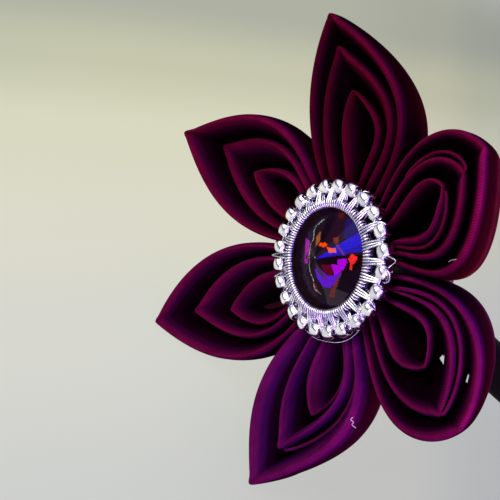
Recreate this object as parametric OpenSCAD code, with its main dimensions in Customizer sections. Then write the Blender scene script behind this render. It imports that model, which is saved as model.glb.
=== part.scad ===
// Kanzashi headband: a slim satin-covered band that carries a folded-ribbon flower.
// The flower has six pointed petals of three nested ribbon folds each. A round cut
// crystal sits in its middle, in a ring of coiled wire with 24 beads around it.
// The pieces are drawn in the flower's own axes, x along the band, y across the band
// and z out of the flower's face, and are then laid down on the band's side.

/* [Petals] */
// Distance from the flower's axis to where the ribbon folds begin
root_r = 8; // [7:0.5:9]
// Height of the folded edges at their inner ends, below the crystal's opening
root_z = -3.6; // [-4.5:0.1:-3.4]
// Depth of the ribbon walls behind their folded edges
wall_depth = 11; // [8:0.5:11]
// Thickness of a folded ribbon wall
wall_t = 1; // [0.8:0.1:1.1]
// Share of its fullness that a petal loses at the raw edges behind
draw_in = 0.5; // [0.2:0.05:0.6]
// Share by which a petal swells halfway down its depth
swell = 0.06; // [0:0.02:0.12]

/* [Crystal and beads] */
// Radius of the round opening in front of the crystal
opening_r = 8; // [7.5:0.1:8.5]
// Width across the crystal's girdle
crystal_w = 17.8; // [17:0.1:17.8]
// Height of the crystal's point above the opening
crystal_rise = 2.6; // [1.5:0.1:3.5]
// Depth of the crystal's cone behind its girdle
crystal_back = 2.9; // [2:0.1:3.2]
// Thickness of the ring of coiled wire
coil_t = 1.7; // [1.6:0.05:1.75]
// Number of beads around the ring
bead_n = 24; // [24:1:24]
// Radius of the circle of beads
bead_circle_r = 11.6; // [11.6:0.05:12]
// Diameter of a bead
bead_w = 2.44; // [2:0.02:2.5]
// Length of a bead along its wire
bead_len = 1.9; // [1.5:0.05:1.95]
// Diameter of the hole through a bead
bead_hole = 0.9; // [0.7:0.05:1]
// Diameter of the wire that carries the beads
wire_t = 0.36; // [0.3:0.02:0.4]

/* [Band] */
// Outer radius of the band's round top
band_r = 64; // [60:1:70]
// Outer radius of the bend of the two arms
arm_r = 120; // [100:5:160]
// Length of each arm beyond the round top
arm_len = 62; // [50:1:80]
// Width of the band
band_w = 7.5; // [6:0.5:10]
// Thickness of the band
band_t = 3; // [2:0.5:4]
// Angle from the band's top to the flower
flower_side = 60; // [45:1:70]
// Diameter of the felt pad between the flower and the band
pad_w = 26; // [22:1:28]
// Thickness of the felt pad
pad_t = 1.2; // [1:0.1:1.4]

/* [Resting on its side] */
// Lean of the flower's face, which is below 0 where the face looks up
lean_face = -10.45; // [-20:0.05:20]
// Lean of the band's plane to the flower's side
lean_side = 4; // [-10:0.05:10]
// Place of the flower's middle, seen from the middle of the ground that the part covers
rest_place = [6.6, -67.4, 30.53]; // [-100:0.01:100]

/* [Hidden] */
seat_gap = 0.3;
small_gap = 0.2;
root_half = [3.4, 2.15, 0.95];
stations = 11;
crystal_sides = 16;
// Direction of the first of the crystal's edges, and of the bead that stands highest
crystal_turn = 4;
bead_turn = 139.5;
bead_z = -0.43;

// A row for each petal: keel is how far its point draws in at the raw edge, as a share of the
// depth there, and taper is the share of its depth that it loses at the point
// petal = [turn, roll, keel, taper]
petals = [
    [125.5, 0, 0.3, 0.2],
    [186.5, 0, 0.25, 0.2],
    [244, -0.09, 0.25, 0.3],
    [308, 0, 0.08, 0.1],
    [6.5, -0.13, 0.9, 0.4],
    [65, -0.13, 0.75, 0.1]
];
// A row for each petal's fold
// fold = [sway, reach, rise, left, right, left_full, right_full, point]
outer_folds = [
    [0.3, 37, 7.1, 5.4, 10.9, 0.85, 1.2, 0.94],
    [0.3, 36.3, 8.9, 5.9, 9.3, 1.2, 1.3, 1.1],
    [-0.2, 36.7, 9.1, 8.5, 7.4, 1, 1.05, 0.98],
    [-1.7, 36.1, 9.2, 10.9, 6.9, 1.45, 1.1, 1.14],
    [0.9, 37.1, 4.3, 8.8, 7.4, 1.1, 1.05, 0.62],
    [0.5, 36.7, 7.3, 6.5, 10, 1.1, 1.4, 0.8]
];
middle_folds = [
    [0.4, 32.7, 4.2, 3.8, 8.9, 1.05, 1.6, 1.08],
    [-0.4, 32.4, 2.6, 4.5, 6.1, 1.2, 1.5, 1.06],
    [-0.6, 31.1, 4.2, 6.2, 4.9, 1.35, 1.25, 1.12],
    [0.1, 30.2, 5.8, 6.7, 3.1, 1.55, 1.65, 1.2],
    [-0.8, 33.2, 3.1, 7, 4.1, 1.55, 1.3, 0.88],
    [0.3, 30.7, 3.8, 4.9, 7.1, 1.25, 1.55, 0.76]
];
inner_folds = [
    [-0.5, 26.6, 0.6, 1.9, 5.2, 2.5, 2.4, 1.1],
    [0.1, 24.9, -0.2, 2.2, 3.7, 1.4, 1.65, 1.02],
    [0.6, 25.9, 0, 4.2, 3.2, 1.55, 1.4, 1.02],
    [0.6, 25.2, -0.2, 4.4, 2.7, 1.75, 2.2, 1.06],
    [0.2, 25.1, -0.5, 3.6, 3.1, 2.3, 2.15, 0.94],
    [0.6, 26, 2.4, 2.7, 4.3, 2.3, 1.95, 0.88]
];
// Outline of a ribbon wall's section, out over the rounded fold and down to the raw edge
// corner = [side, share of the depth]
wall_corners = [
    [0, 0],
    [0.8, 0.015],
    [1, 0.045],
    [1, 0.35],
    [1, 0.7],
    [1, 1],
    [-1, 1],
    [-1, 0.7],
    [-1, 0.35],
    [-1, 0.045],
    [-0.8, 0.015]
];

// Outline of the band's section, flat with round edges
// corner = [share of the thickness, share of the half width]
band_corners = [
    [0, -0.7],
    [0, 0.7],
    [-0.12, 0.88],
    [-0.35, 0.99],
    [-0.65, 0.99],
    [-0.88, 0.88],
    [-1, 0.7],
    [-1, -0.7],
    [-0.88, -0.88],
    [-0.65, -0.99],
    [-0.35, -0.99],
    [-0.12, -0.88]
];
// Steps along the band, and along the rounding of an arm's end
band_steps = 56;
end_steps = [0.04, 0.2, 0.5, 1];

coil_ring_r = opening_r + coil_t / 2;
cup_outer_r = opening_r + coil_t;
cup_inner_r = crystal_w / 2 + small_gap;
cup_bottom = -2.85;
lip_inner_r = cup_inner_r - 1;
lip_top = -2;
lip_t = 0.4;
girdle_top = -1.2;
girdle_t = 0.2;
table_r = 0.35;
pad_top = root_z - wall_depth - seat_gap;
seat_z = pad_top - pad_t - small_gap;

layers = [outer_folds, middle_folds, inner_folds];
layer_names = ["outer", "middle", "inner"];
petal_nodes = [for (k = [1:6], name = layer_names) str("petal_", k, "_", name)];
bead_nodes = [for (k = [1:bead_n]) str("bead_", k < 10 ? "0" : "", k)];

// Lays the flower's axes down on the band's side
module laid_down() {
    translate(rest_place) rotate([lean_face, lean_side, 0]) rotate([90, 0, 0]) children();
}

// Bow of a fold from its inner end, at 0, to its point, at 1, with its fullest width at 1
function bow(u, fullness, point) =
    let (full = fullness / (fullness + point))
    pow(u, fullness) * pow(1 - u, point) / (pow(full, fullness) * pow(1 - full, point));

// Share of its fullness that a petal has at a depth
function fullness_at(depth) =
    let (f = depth / wall_depth)
    1 + swell * 4 * f * (1 - f) - draw_in * pow(f, 2.7);

// Climb of a fold's edge for each millimetre away from the flower's axis
function climb(fold) = (fold[2] - root_z) / (fold[1] - root_r);

// How far a petal's point has drawn in at a depth
function inset_at(k, depth) = petals[k][2] * depth * depth / wall_depth;

// Point of a fold's middle line: u runs from the inner end to the point, side is 1 on the
// left, and share runs from the folded edge to the raw one, which lies as deep on all folds
function fold_point(k, layer, u, side, share) =
    let (
        outer = layers[0][k],
        fold = layers[layer][k],
        half = side > 0 ? fold[3] : fold[4],
        fullness = side > 0 ? fold[5] : fold[6],
        away = (fold[1] - root_r) * u,
        below = away * (climb(outer) - climb(fold)),
        whole = wall_depth * (1 - petals[k][3] * away / (outer[1] - root_r)),
        depth = share * (whole - below),
        out = away - (inset_at(k, below + depth) - inset_at(k, below)) * u,
        full = fullness_at(below + depth) / fullness_at(below),
        across = side * (root_half[layer] * (1 - u) + half * bow(u, fullness, fold[7]) * full),
        height = root_z + climb(fold) * out + petals[k][1] * across * u - depth
    )
    [root_r + out, across + fold[0] * u, height];

// The fold's whole middle line at a share, from the left inner end round the point
function fold_line(k, layer, share) = [
    for (i = [-stations:stations])
        fold_point(k, layer, 1 - pow(abs(i) / stations, 1.25), i < 0 ? 1 : -1, share)
];

// The same line moved sideways by half the wall, mitred at the point
function wall_line(line, shift) = [
    for (i = [0:len(line) - 1])
        let (
            a = line[max(i - 1, 0)],
            b = line[min(i + 1, len(line) - 1)],
            along = [b[0] - a[0], b[1] - a[1]] / norm([b[0] - a[0], b[1] - a[1]]),
            reach = i == stations ? (shift > 0 ? 1.3 : 1.9) : 1
        )
        line[i] + [-along[1], along[0], 0] * shift * reach
];

// One ribbon fold: its walls run from the inner end round the point and back
module ribbon_fold(k, layer) {
    lines = [
        for (corner = wall_corners)
            wall_line(fold_line(k, layer, corner[1]), corner[0] * wall_t / 2)
    ];
    rows = len(lines[0]);
    corners = len(wall_corners);
    points = [for (i = [0:rows - 1], j = [0:corners - 1]) lines[j][i]];
    sides = [
        for (i = [0:rows - 2], j = [0:corners - 1])
            let (
                a = i * corners + j,
                b = i * corners + (j + 1) % corners
            )
            each [[a, b, b + corners], [a, b + corners, a + corners]]
    ];
    near_end = [for (j = [1:corners - 2]) [0, j + 1, j]];
    last = (rows - 1) * corners;
    far_end = [for (j = [1:corners - 2]) [last, last + j, last + j + 1]];
    polyhedron(points, concat(sides, near_end, far_end));
}

module petal_layer(k, layer) {
    color([0.36, 0.05, 0.16]) laid_down() rotate([0, 0, petals[k][0]]) ribbon_fold(k, layer);
}

// Round back plate of felt that the petals are gathered on
module pad() {
    color([0.1, 0.02, 0.05]) laid_down()
        translate([0, 0, pad_top - pad_t]) cylinder(h = pad_t, d = pad_w, $fn = 96);
}

// Place on the band's outer face at a length from its top: [angle, along, out of the face]
function band_place(length) =
    let (
        half_top = PI * band_r / 2,
        side = length < 0 ? -1 : 1,
        on_top = min(abs(length), half_top) / band_r * 180 / PI,
        on_arm = max(abs(length) - half_top, 0) / arm_r * 180 / PI,
        joint = 90 - flower_side + side * on_top,
        turn = joint + side * on_arm,
        hub = on_arm > 0 ? (band_r - arm_r) * [cos(joint), sin(joint)] : [0, 0]
    )
    [turn, hub + (on_arm > 0 ? arm_r : band_r) * [cos(turn), sin(turn)]];

// Share of its width that the band has at a length, which rounds its two ends
function band_share(length) =
    let (left = (PI * band_r / 2 + arm_len - abs(length)) / (band_w / 2))
    left >= 1 ? 1 : sqrt(1 - pow(1 - left, 2));

// The band is one closed sweep of its section round the top and down both arms
module band() {
    reach = PI * band_r / 2 + arm_len;
    ends = [for (share = end_steps) reach - share * band_w / 2];
    lengths = concat(
        [for (length = ends) -length],
        [for (i = [1:band_steps - 1]) (2 * i / band_steps - 1) * (reach - band_w / 2)],
        [for (i = [1:len(ends)]) ends[len(ends) - i]]
    );
    corners = len(band_corners);
    points = [
        for (length = lengths)
            let (place = band_place(length), share = band_share(length))
            for (corner = band_corners)
                let (out = place[1] + corner[0] * band_t * [cos(place[0]), sin(place[0])])
                [out[0], corner[1] * band_w / 2 * share, seat_z - band_r + out[1]]
    ];
    sides = [
        for (i = [0:len(lengths) - 2], j = [0:corners - 1])
            let (a = i * corners + j, b = i * corners + (j + 1) % corners)
            each [[a, b + corners, b], [a, a + corners, b + corners]]
    ];
    last = (len(lengths) - 1) * corners;
    near_end = [for (j = [1:corners - 2]) [0, j, j + 1]];
    far_end = [for (j = [1:corners - 2]) [last, last + j + 1, last + j]];
    color([0.03, 0.03, 0.035]) laid_down() polyhedron(points, concat(sides, near_end, far_end));
}

// Wire work around the crystal: coiled ring, cup with a lip under the girdle, spokes and bead wire
module setting() {
    spoke_w = 0.64;
    spoke_t = 0.5;
    color([0.86, 0.86, 0.88]) laid_down() {
        rotate_extrude($fn = 128) {
            translate([coil_ring_r, 0]) circle(coil_t / 2, $fn = 48);
            translate([cup_inner_r, cup_bottom]) square([cup_outer_r - cup_inner_r, -cup_bottom]);
            translate([lip_inner_r, lip_top - lip_t]) square([cup_outer_r - lip_inner_r, lip_t]);
        }
        translate([0, 0, bead_z]) rotate_extrude($fn = 128)
            translate([bead_circle_r, 0]) circle(wire_t / 2, $fn = 24);
        for (k = [0:bead_n - 1])
            rotate([0, 0, bead_turn + (k + 0.5) * 360 / bead_n])
                translate([cup_outer_r - 0.2, -spoke_w / 2, bead_z - spoke_t / 2])
                    cube([bead_circle_r + 0.3 - cup_outer_r + 0.2, spoke_w, spoke_t]);
    }
}

// Ring of the crystal's corners at a radius and height
function crystal_ring(r, z) = [
    for (k = [0:crystal_sides - 1])
        let (a = crystal_turn + k * 360 / crystal_sides)
        [r * cos(a), r * sin(a), z]
];

// Round crystal with a cone of 16 facets in front, cut to a small table, and one behind
module crystal() {
    girdle_r = crystal_w / 2;
    rings = [
        crystal_ring(table_r, girdle_top - girdle_t - crystal_back),
        crystal_ring(girdle_r, girdle_top - girdle_t),
        crystal_ring(girdle_r, girdle_top),
        crystal_ring(table_r, crystal_rise)
    ];
    n = crystal_sides;
    facets = [
        for (i = [0:len(rings) - 2], k = [0:n - 1])
            let (a = i * n + k, b = i * n + (k + 1) % n)
            [a, a + n, b + n, b]
    ];
    back_table = [for (k = [0:n - 1]) k];
    front_table = [for (k = [0:n - 1]) (len(rings) - 1) * n + n - 1 - k];
    color([0.22, 0.04, 0.22]) laid_down()
        polyhedron([for (ring = rings) each ring], concat(facets, [back_table, front_table]));
}

module bead(k) {
    color([0.9, 0.9, 0.93]) laid_down()
        rotate([0, 0, bead_turn - (k - 1) * 360 / bead_n])
            translate([bead_circle_r, 0, bead_z]) rotate([90, 0, 0])
                difference() {
                    intersection() {
                        cylinder(h = bead_len, d = bead_w, center = true, $fn = 48);
                        sphere(1.45, $fn = 48);
                    }
                    cylinder(h = bead_len + 1, d = bead_hole, center = true, $fn = 32);
                }
}

band();
pad();
setting();
crystal();
for (k = [0:5], layer = [0:2])
    petal_layer(k, layer);
for (k = [1:bead_n])
    bead(k);
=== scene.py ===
# Kanzashi headband: satin petals, coiled wire, beads and a cut crystal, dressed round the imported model
import bisect
import math
import random

import bpy
from mathutils import Matrix, Vector


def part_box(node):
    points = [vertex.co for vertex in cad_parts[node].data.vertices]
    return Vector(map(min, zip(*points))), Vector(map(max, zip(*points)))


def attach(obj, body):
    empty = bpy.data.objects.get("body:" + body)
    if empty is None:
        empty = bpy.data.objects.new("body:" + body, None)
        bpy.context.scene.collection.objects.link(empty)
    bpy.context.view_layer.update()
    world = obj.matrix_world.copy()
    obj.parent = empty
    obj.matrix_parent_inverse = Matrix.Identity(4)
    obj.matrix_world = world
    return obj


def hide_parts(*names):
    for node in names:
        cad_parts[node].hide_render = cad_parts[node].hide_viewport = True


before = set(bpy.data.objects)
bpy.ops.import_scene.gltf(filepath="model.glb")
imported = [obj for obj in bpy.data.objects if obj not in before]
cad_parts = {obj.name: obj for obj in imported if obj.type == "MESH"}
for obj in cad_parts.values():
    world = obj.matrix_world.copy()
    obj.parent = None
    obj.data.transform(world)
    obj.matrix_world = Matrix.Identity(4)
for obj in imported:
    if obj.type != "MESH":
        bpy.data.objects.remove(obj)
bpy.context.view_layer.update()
mm = 0.001

# How the flower leans on the ground, and the height of its beads over its own middle
lean = {"face": -10.45, "side": 4.0, "beadHeight": -0.43, "beads": 24}


def flowerPlace():
    turn = (
        Matrix.Rotation(math.radians(lean["side"]), 4, "Y")
        @ Matrix.Rotation(math.radians(lean["face"]), 4, "X")
        @ Matrix.Rotation(math.radians(90), 4, "X")
    )
    corners = [corner for k in range(lean["beads"]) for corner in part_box(f"bead_{k + 1:02d}")]
    middle = sum(corners, Vector()) / len(corners)
    lift = Matrix.Translation((0, 0, -lean["beadHeight"]))
    return Matrix.Translation(middle) @ turn @ Matrix.Scale(mm, 4) @ lift


flowerToWorld = flowerPlace()  # from the flower's own axes, in millimetres, to the frame
flowerMiddle = flowerToWorld @ Vector((0, 0, 0))
print("flower middle", [round(x, 4) for x in flowerMiddle])

# Camera, at the photo's angle to the flower's face
cameraFit = {
    "distance": 140,  # mm from the flower's middle
    "side": 45.88,  # degrees to the right of the flower's face
    "roll": 4.88,
    "bandTurn": 41,  # degrees from the picture's level to the band
    "aimRight": -12.34,
    "aimUp": 0.29,
    "lens": 63.12,
}


def addCamera():
    side = math.radians(cameraFit["side"])
    eye = Vector((math.sin(side), 0, math.cos(side))) * cameraFit["distance"]
    back = eye.normalized()
    right = Vector((0, 1, 0)).cross(back).normalized()
    up = back.cross(right)
    target = right * cameraFit["aimRight"] + up * cameraFit["aimUp"]
    back = (eye - target).normalized()
    right = up.cross(back).normalized()
    up = back.cross(right)
    roll = math.radians(cameraFit["roll"])
    rolled = right * math.cos(roll) + up * math.sin(roll), up * math.cos(roll) - right * math.sin(roll)
    axes = Matrix((rolled[0], rolled[1], back)).transposed().to_4x4()
    bandTurn = Matrix.Rotation(math.radians(cameraFit["bandTurn"]), 4, "Z")
    where, turn, _ = (flowerToWorld @ bandTurn @ Matrix.Translation(eye) @ axes).decompose()
    data = bpy.data.cameras.new("camera")
    data.lens = cameraFit["lens"]
    data.sensor_width = 36
    data.clip_start = 0.01
    camera = bpy.data.objects.new("camera", data)
    bpy.context.scene.collection.objects.link(camera)
    camera.matrix_world = Matrix.Translation(where) @ turn.to_matrix().to_4x4()
    bpy.context.scene.camera = camera
    return camera


camera = addCamera()
print("camera at", [round(x, 4) for x in camera.matrix_world.translation])

# Helpers for materials


def newMaterial(name):
    material = bpy.data.materials.new(name)
    material.use_nodes = True
    tree = material.node_tree
    return material, tree, tree.nodes["Principled BSDF"]


def addNode(tree, kind, **settings):
    node = tree.nodes.new(kind)
    for key, value in settings.items():
        if key in node.inputs:
            node.inputs[key].default_value = value
        else:
            setattr(node, key, value)
    return node


def addMath(tree, operation, first, second=None, third=None, clamp=False):
    node = tree.nodes.new("ShaderNodeMath")
    node.operation = operation
    node.use_clamp = clamp
    for socket, value in zip(node.inputs, (first, second, third)):
        if value is None:
            continue
        if isinstance(value, (int, float)):
            socket.default_value = value
        else:
            tree.links.new(value, socket)
    return node.outputs[0]


def colourMix(tree, share, first, second, blend="MIX"):
    node = addNode(tree, "ShaderNodeMix", data_type="RGBA", blend_type=blend)
    for socket, value in ((node.inputs[0], share), (node.inputs[6], first), (node.inputs[7], second)):
        if isinstance(value, bpy.types.NodeSocket):
            tree.links.new(value, socket)
        elif isinstance(value, (int, float)):
            socket.default_value = value
        else:
            socket.default_value = (*value, 1)
    return node.outputs[2]


def setShader(shader, **values):
    for key, value in values.items():
        shader.inputs[key].default_value = (*value, 1) if isinstance(value, tuple) else value


def addBump(tree, shader, height, strength, distance):
    bump = addNode(tree, "ShaderNodeBump", Strength=strength, Distance=distance * mm)
    tree.links.new(height, bump.inputs["Height"])
    tree.links.new(bump.outputs["Normal"], shader.inputs["Normal"])


def newGroup(name, inputs, outputs):
    group = bpy.data.node_groups.new(name, "ShaderNodeTree")
    for label, value in inputs:
        socket = group.interface.new_socket(name=label, in_out="INPUT", socket_type="NodeSocketFloat")
        socket.default_value = value
    for label in outputs:
        group.interface.new_socket(name=label, in_out="OUTPUT", socket_type="NodeSocketFloat")
    return group, group.nodes.new("NodeGroupInput"), group.nodes.new("NodeGroupOutput")


# Threads of the satin: their noise across and along the ribs, and broad patches in the cloth
weaveSizes = {"threadScale": 1.6, "alongShare": 0.6, "broadScale": 0.35}


def weaveGroup():
    # Diagonal ribs of a satin twill over a UV map in millimetres, with uneven threads
    inputs = [("Pitch", 0.34), ("Slant", 38.0), ("Uneven", 0.3)]
    group, source, sink = newGroup("satinWeave", inputs, ["Rib", "Shade"])
    links = group.links
    place = addNode(group, "ShaderNodeUVMap", uv_map="cloth")
    turned = addNode(group, "ShaderNodeVectorRotate", rotation_type="Z_AXIS")
    links.new(place.outputs["UV"], turned.inputs["Vector"])
    links.new(addMath(group, "RADIANS", source.outputs["Slant"]), turned.inputs["Angle"])
    split = group.nodes.new("ShaderNodeSeparateXYZ")
    links.new(turned.outputs["Vector"], split.inputs[0])
    across = addMath(group, "DIVIDE", split.outputs["X"], source.outputs["Pitch"])
    ribs = addMath(group, "SINE", addMath(group, "MULTIPLY", across, 2 * math.pi))
    stretched = group.nodes.new("ShaderNodeCombineXYZ")
    links.new(across, stretched.inputs["X"])
    links.new(addMath(group, "MULTIPLY", split.outputs["Y"], weaveSizes["alongShare"]), stretched.inputs["Y"])
    threads = addNode(group, "ShaderNodeTexNoise", Scale=weaveSizes["threadScale"], Detail=2.0)
    links.new(stretched.outputs[0], threads.inputs["Vector"])
    centred = addMath(group, "SUBTRACT", threads.outputs["Fac"], 0.5)
    loose = addMath(group, "MULTIPLY", centred, source.outputs["Uneven"])
    even = addMath(group, "MULTIPLY_ADD", ribs, 0.5, 0.5)
    broad = addNode(group, "ShaderNodeTexNoise", Scale=weaveSizes["broadScale"], Detail=2.0)
    links.new(place.outputs["UV"], broad.inputs["Vector"])
    links.new(addMath(group, "MULTIPLY_ADD", loose, 2.0, even), sink.inputs["Rib"])
    links.new(broad.outputs["Fac"], sink.inputs["Shade"])
    return group


satinWeave = weaveGroup()


def placeWeave(tree, look):
    weave = tree.nodes.new("ShaderNodeGroup")
    weave.node_tree = satinWeave
    for label in ("Pitch", "Slant", "Uneven"):
        weave.inputs[label].default_value = look[label.lower()]
    return weave.outputs


# Wine satin, with painted light and shade: its tone goes by the way from the rim in mm, below zero on the
# outer face, above it on the inner
satinLook = {
    # Painted highlight on the rim, painted shade down the walls and deep in the folds, painted light again
    # far down the outer face
    "tones": [
        (-9.0, (0.1250, 0.0080, 0.0320)),
        (-5.0, (0.0300, 0.0010, 0.0060)),
        (-2.4, (0.0150, 0.0002, 0.0045)),
        (-1.5, (0.0420, 0.0006, 0.0300)),
        (-0.7, (0.1500, 0.0015, 0.0480)),
        (0.0, (0.1900, 0.0022, 0.0330)),
        (0.9, (0.1200, 0.0014, 0.0260)),
        (2.2, (0.0350, 0.0006, 0.0170)),
        (3.6, (0.0070, 0.0002, 0.0030)),
        (5.5, (0.0010, 0.0001, 0.0004)),
    ],
    "redShot": (1.0, 1.2, 0.4),  # shares of the tone where no blue threads and no painted violet light show, and where they all do
    "blueShot": (0.85, 2.7, 2.9),
    "pitch": 0.32,
    "slant": 38,
    "uneven": 0.35,
    "ribDepth": 0.07,
    "ribBump": 0.35,
    "troughTone": (0.03, 0.0008, 0.012),
    "ribShade": 0.75,  # how much darker the troughs between ribs are, at the rim
    "ribStart": 1.15,
    "ribFades": 2.2,  # mm from the rim over which the ribs fade
    "dullTone": (0.012, 0.0005, 0.006),
    "dullSpread": (0.9, -0.25),  # turns the broad patches of the weave into shares of the dull tone
    "roughness": (-0.06, 0.5),  # on the ribs less than in the troughs
}


def toneRamp(tree, value, tones):
    # A colour ramp whose stops are given in the value's own units
    low, high = tones[0][0], tones[-1][0]
    share = addMath(tree, "DIVIDE", addMath(tree, "SUBTRACT", value, low), high - low)
    ramp = tree.nodes.new("ShaderNodeValToRGB")
    ramp.color_ramp.interpolation = "EASE"
    stops = ramp.color_ramp.elements
    for k, (place, colour) in enumerate(tones):
        where = (place - low) / (high - low)
        stop = stops[k] if k < 1 else (stops[-1] if k == len(tones) - 1 else stops.new(where))
        stop.position = where
        stop.color = (*colour, 1)
    tree.links.new(share, ramp.inputs["Fac"])
    return ramp.outputs["Color"]


def wineSatinMaterial():
    look = satinLook
    material, tree, shader = newMaterial("wineSatin")
    weave = placeWeave(tree, look)

    def read(label):
        return addNode(tree, "ShaderNodeAttribute", attribute_name=label).outputs["Fac"]

    reach = read("fromRim")
    away = addMath(tree, "DIVIDE", addMath(tree, "ABSOLUTE", reach), look["ribFades"])
    near = addMath(tree, "SUBTRACT", look["ribStart"], away, clamp=True)
    trough = addMath(tree, "SUBTRACT", 1.0, weave["Rib"])
    dark = addMath(tree, "MULTIPLY", addMath(tree, "MULTIPLY", trough, near), look["ribShade"])
    # The tone ramp by the way from the rim paints the satin's light and shade
    ribbed = colourMix(tree, dark, toneRamp(tree, reach, look["tones"]), look["troughTone"])
    # Blue threads, with painted violet light, in each petal's own share
    threads = colourMix(tree, read("blueThreadsAndVioletLight"), look["redShot"], look["blueShot"])
    shot = colourMix(tree, 1.0, ribbed, threads, "MULTIPLY")
    shaded = colourMix(tree, 1.0, shot, read("lightShare"), "MULTIPLY")
    dull = addMath(tree, "MULTIPLY_ADD", weave["Shade"], *look["dullSpread"], clamp=True)
    tree.links.new(colourMix(tree, dull, shaded, look["dullTone"]), shader.inputs["Base Color"])
    addBump(tree, shader, weave["Rib"], look["ribBump"], look["ribDepth"])
    rough = addMath(tree, "MULTIPLY_ADD", weave["Rib"], *look["roughness"])
    tree.links.new(rough, shader.inputs["Roughness"])
    setShader(shader, **{"Metallic": 0.15, "Specular IOR Level": 0.0, "Specular Tint": (0.2, 0.01, 0.12)})
    return material


# Black satin of the band, nearly without light of its own
blackLook = {
    "pitch": 0.3,
    "slant": 52,
    "uneven": 0.3,
    "ribDepth": 0.04,
    "ribBump": 0.4,
    "troughTone": (0.001, 0.001, 0.0014),
    "ribTone": (0.003, 0.0028, 0.004),
}


def blackSatinMaterial():
    look = blackLook
    material, tree, shader = newMaterial("blackSatin")
    weave = placeWeave(tree, look)
    tone = colourMix(tree, weave["Rib"], look["troughTone"], look["ribTone"])
    tree.links.new(tone, shader.inputs["Base Color"])
    addBump(tree, shader, weave["Rib"], look["ribBump"], look["ribDepth"])
    setShader(shader, **{"Roughness": 0.42, "Specular IOR Level": 0.06})
    setShader(shader, **{"Sheen Weight": 0.01, "Sheen Roughness": 0.35, "Sheen Tint": (0.75, 0.8, 1.0)})
    return material


# Silver: bright and dull spots, how fine they are for each metre, and the roughness of the bright ones
silverLooks = {
    "coilSilver": {"bright": (0.88, 0.87, 0.92), "dull": (0.5, 0.49, 0.6), "scale": 900.0, "roughness": 0.2},
    "beadSilver": {"bright": (0.97, 0.96, 0.98), "dull": (0.7, 0.7, 0.8), "scale": 500.0, "roughness": 0.14},
    "darkWire": {"bright": (0.16, 0.15, 0.24), "dull": (0.06, 0.05, 0.1), "scale": 700.0, "roughness": 0.3},
}
dullRoughness = 0.08  # how much rougher the dull spots are


def silverMaterial(name):
    look = silverLooks[name]
    material, tree, shader = newMaterial(name)
    place = tree.nodes.new("ShaderNodeTexCoord")
    wear = addNode(tree, "ShaderNodeTexNoise", Scale=look["scale"], Detail=3.0)
    tree.links.new(place.outputs["Object"], wear.inputs["Vector"])
    spread = addNode(tree, "ShaderNodeMapRange", **{"From Min": 0.35, "From Max": 0.65})
    tree.links.new(wear.outputs["Fac"], spread.inputs["Value"])
    tone = colourMix(tree, spread.outputs["Result"], look["dull"], look["bright"])
    tree.links.new(tone, shader.inputs["Base Color"])
    least = look["roughness"] + dullRoughness
    rough = addMath(tree, "MULTIPLY_ADD", spread.outputs["Result"], -dullRoughness, least)
    tree.links.new(rough, shader.inputs["Roughness"])
    addBump(tree, shader, wear.outputs["Fac"], 0.25, 0.05)
    setShader(shader, Metallic=1.0)
    return material


feltLook = {"hollows": (0.02, 0.003, 0.008), "fibres": (0.07, 0.01, 0.03), "scale": 2600.0}


def feltMaterial():
    look = feltLook
    material, tree, shader = newMaterial("darkFelt")
    place = tree.nodes.new("ShaderNodeTexCoord")
    grain = {"Scale": look["scale"], "Detail": 4.0, "Roughness": 0.7, "Distortion": 1.5}
    fibres = addNode(tree, "ShaderNodeTexNoise", **grain)
    tree.links.new(place.outputs["Object"], fibres.inputs["Vector"])
    tone = colourMix(tree, fibres.outputs["Fac"], look["hollows"], look["fibres"])
    tree.links.new(tone, shader.inputs["Base Color"])
    addBump(tree, shader, fibres.outputs["Fac"], 0.8, 0.25)
    setShader(shader, **{"Roughness": 0.95, "Sheen Weight": 0.4, "Sheen Roughness": 0.6})
    return material


def crystalMaterial():
    # A clear cut stone over foil: its patches of colour are painted reflections in the mesh, under a hard
    # gloss, and they glow as painted light
    material, tree, shader = newMaterial("foiledCrystal")
    patch = addNode(tree, "ShaderNodeAttribute", attribute_name="patch").outputs["Color"]
    tree.links.new(colourMix(tree, 0.92, patch, (0.0, 0.0, 0.0)), shader.inputs["Base Color"])
    # The painted reflections glow as well, as painted light
    tree.links.new(patch, shader.inputs["Emission Color"])
    setShader(shader, **{"Emission Strength": 1.0, "Roughness": 0.25, "Specular IOR Level": 0.03})
    return material


wineSatin = wineSatinMaterial()
blackSatin = blackSatinMaterial()
coilSilver = silverMaterial("coilSilver")
beadSilver = silverMaterial("beadSilver")
darkWire = silverMaterial("darkWire")
darkFelt = feltMaterial()
foiledCrystal = crystalMaterial()
print("materials made")

# Helpers for meshes


def linkMesh(name, mesh, material):
    mesh.materials.clear()
    mesh.materials.append(material)
    piece = bpy.data.objects.new(name, mesh)
    bpy.context.scene.collection.objects.link(piece)
    return piece


def addMesh(name, points, faces, material, uvs=None, smooth=True, place=None):
    mesh = bpy.data.meshes.new(name)
    place = place or flowerToWorld
    mesh.from_pydata([place @ Vector(point) for point in points], [], faces)
    mesh.validate()
    if uvs:
        layer = mesh.uv_layers.new(name="cloth")
        for loop in mesh.loops:
            layer.data[loop.index].uv = uvs[loop.vertex_index]
    mesh.polygons.foreach_set("use_smooth", [smooth] * len(mesh.polygons))
    return linkMesh(name, mesh, material)


def ringFaces(rows, wide, closedRows=False):
    # Quads between rows of points, each row a closed ring
    steps = rows if closedRows else rows - 1
    faces = []
    for i in range(steps):
        here, there = i * wide, (i + 1) % rows * wide
        for j in range(wide):
            after = (j + 1) % wide
            faces.append((here + j, here + after, there + after, there + j))
    return faces


def lathe(name, outline, sides, material, place=None, smooth=True):
    # A closed outline of (radius, height), counterclockwise, turned about the z axis
    points = []
    for k in range(sides):
        a = 2 * math.pi * k / sides
        points += [(r * math.cos(a), r * math.sin(a), z) for r, z in outline]
    faces = ringFaces(sides, len(outline), closedRows=True)
    return addMesh(name, points, faces, material, smooth=smooth, place=place)


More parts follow.
